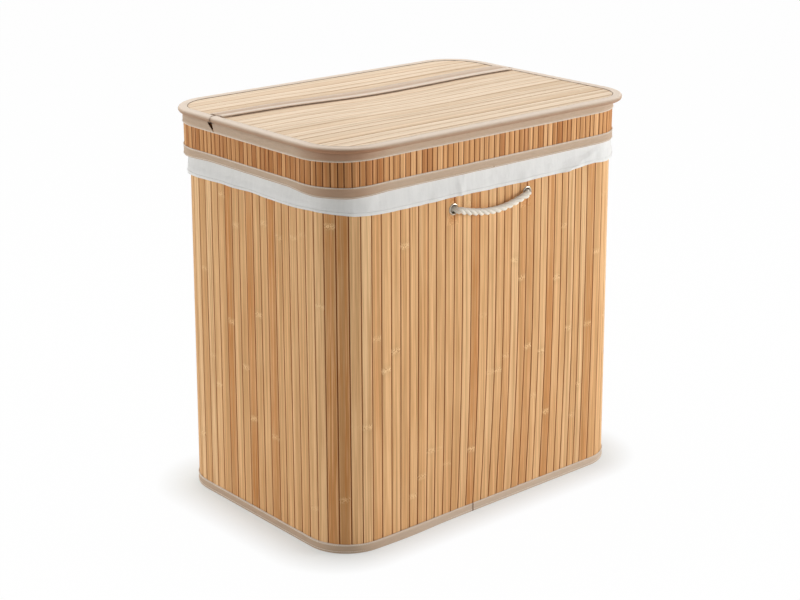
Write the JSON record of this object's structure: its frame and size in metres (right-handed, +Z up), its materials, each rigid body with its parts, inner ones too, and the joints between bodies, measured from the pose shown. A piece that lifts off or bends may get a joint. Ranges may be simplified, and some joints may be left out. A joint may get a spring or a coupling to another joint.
{
  "type": "laundry hamper with two bins",
  "caption": "Rectangular lath-walled laundry hamper with rounded corners, a lift-out cloth liner split into bins, a part-hinged lid and rope handles.",
  "frame": {"origin": "on the floor under the middle of the hamper", "axes": "+X along the width to the right seen from the front, +Y from the front face to the back, +Z up"},
  "size_m": [0.5982, 0.4248, 0.604],
  "materials": {
    "wall_bamboo": "matte varnish",
    "lid_bamboo": "matte varnish",
    "binding_tape": "plain weave",
    "liner_cloth": "plain weave",
    "board": "raw fibreboard",
    "rope": "three-strand cotton",
    "eyelet_metal": "nickel",
    "hoop_wire": "drawn wire"
  },
  "bodies": {
    "basket": {"wall_front": "wall_bamboo", "wall_back": "wall_bamboo", "wall_left": "wall_bamboo", "wall_right": "wall_bamboo", "wall_corner_front_left": "wall_bamboo", "wall_corner_front_right": "wall_bamboo", "wall_corner_back_left": "wall_bamboo", "wall_corner_back_right": "wall_bamboo", "bottom_tape": "binding_tape", "top_tape": "binding_tape", "top_hoop": "hoop_wire", "base_board": "board", "eyelet_front_left": "eyelet_metal", "eyelet_front_right": "eyelet_metal", "eyelet_back_left": "eyelet_metal", "eyelet_back_right": "eyelet_metal", "rope_knot_front_left": "rope", "rope_knot_front_right": "rope", "rope_knot_back_left": "rope", "rope_knot_back_right": "rope"},
    "front_handle": {"front_rope": "rope"},
    "back_handle": {"back_rope": "rope"},
    "liner": {"liner_cuff": "liner_cloth", "liner_front": "liner_cloth", "liner_back": "liner_cloth", "liner_left": "liner_cloth", "liner_right": "liner_cloth", "liner_corner_front_left": "liner_cloth", "liner_corner_front_right": "liner_cloth", "liner_corner_back_left": "liner_cloth", "liner_corner_back_right": "liner_cloth", "bin_divider": "liner_cloth", "bin_floor_left": "liner_cloth", "bin_floor_right": "liner_cloth"},
    "lid": {"skirt_front": "wall_bamboo", "skirt_back": "wall_bamboo", "skirt_left": "wall_bamboo", "skirt_right": "wall_bamboo", "skirt_corner_front_left": "wall_bamboo", "skirt_corner_front_right": "wall_bamboo", "skirt_corner_back_left": "wall_bamboo", "skirt_corner_back_right": "wall_bamboo", "skirt_lower_tape": "binding_tape", "skirt_upper_tape_front": "binding_tape", "skirt_upper_tape_rear": "binding_tape", "rear_board": "board", "rear_slat_mat": "lid_bamboo", "rear_rim_tape": "binding_tape", "hinge_tape": "binding_tape"},
    "flap": {"flap_board": "board", "flap_slat_mat": "lid_bamboo", "flap_rim_tape": "binding_tape"}
  },
  "joints": [
    {"name": "liner_lift", "type": "slide", "parent": "basket", "child": "liner", "axis": [0, 0, 1], "range_m": [0, 0.6]},
    {"name": "lid_lift", "type": "slide", "parent": "liner", "child": "lid", "axis": [0, 0, 1], "range_m": [0, 0.15]},
    {"name": "flap_hinge", "type": "hinge", "parent": "lid", "child": "flap", "pos_m": [0, 0.0816, 0.6043], "axis": [-1, 0, 0], "range_deg": [0, 175]},
    {"name": "front_handle_swing", "type": "hinge", "parent": "basket", "child": "front_handle", "pos_m": [0, -0.2037, 0.4847], "axis": [-1, 0, 0], "range_deg": [0, 150]},
    {"name": "back_handle_swing", "type": "hinge", "parent": "basket", "child": "back_handle", "pos_m": [0, 0.2037, 0.4847], "axis": [1, 0, 0], "range_deg": [0, 150]}
  ]
}
